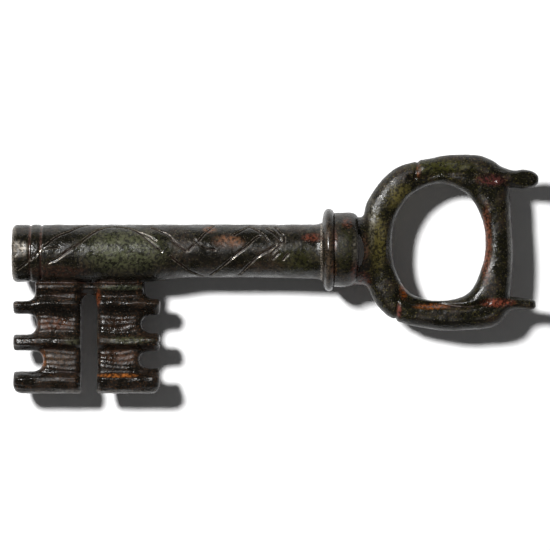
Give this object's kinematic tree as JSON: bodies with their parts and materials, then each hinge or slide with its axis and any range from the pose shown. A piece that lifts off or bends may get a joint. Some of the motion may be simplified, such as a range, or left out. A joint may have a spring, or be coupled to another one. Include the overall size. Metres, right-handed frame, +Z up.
{
  "type": "door key",
  "caption": "Bronze pipe key for a door lock: engraved round stem with a collar, pronged finger-ring bow, and a slit bit with ribs and teeth on both sides.",
  "frame": {"origin": "middle of the key's length and width, on the surface it lies on", "axes": "+X along the stem from its open tip to the bow, +Y away from the bit, +Z up as the key lies flat"},
  "size_m": [0.1402, 0.0638, 0.0221],
  "materials": {
    "bronze_brown_black": "old cast bronze, smooth brown-black patina, worn bright on edges",
    "bronze_olive": "old cast bronze with an olive-green patina and cuprite red in the corners",
    "bronze_earth_brown": "old cast bronze, dark patina with earthy orange-brown deposits in the recesses"
  },
  "bodies": {
    "root": {"stem": "bronze_brown_black", "collar_flange": "bronze_brown_black", "collar_knop": "bronze_olive", "bow_neck": "bronze_brown_black", "bow_ring": "bronze_olive", "bow_upper_arm": "bronze_olive", "bow_lower_arm": "bronze_olive", "bit_root": "bronze_brown_black", "bit_front_leaf": "bronze_earth_brown", "bit_rear_leaf": "bronze_earth_brown"}
  },
  "joints": []
}
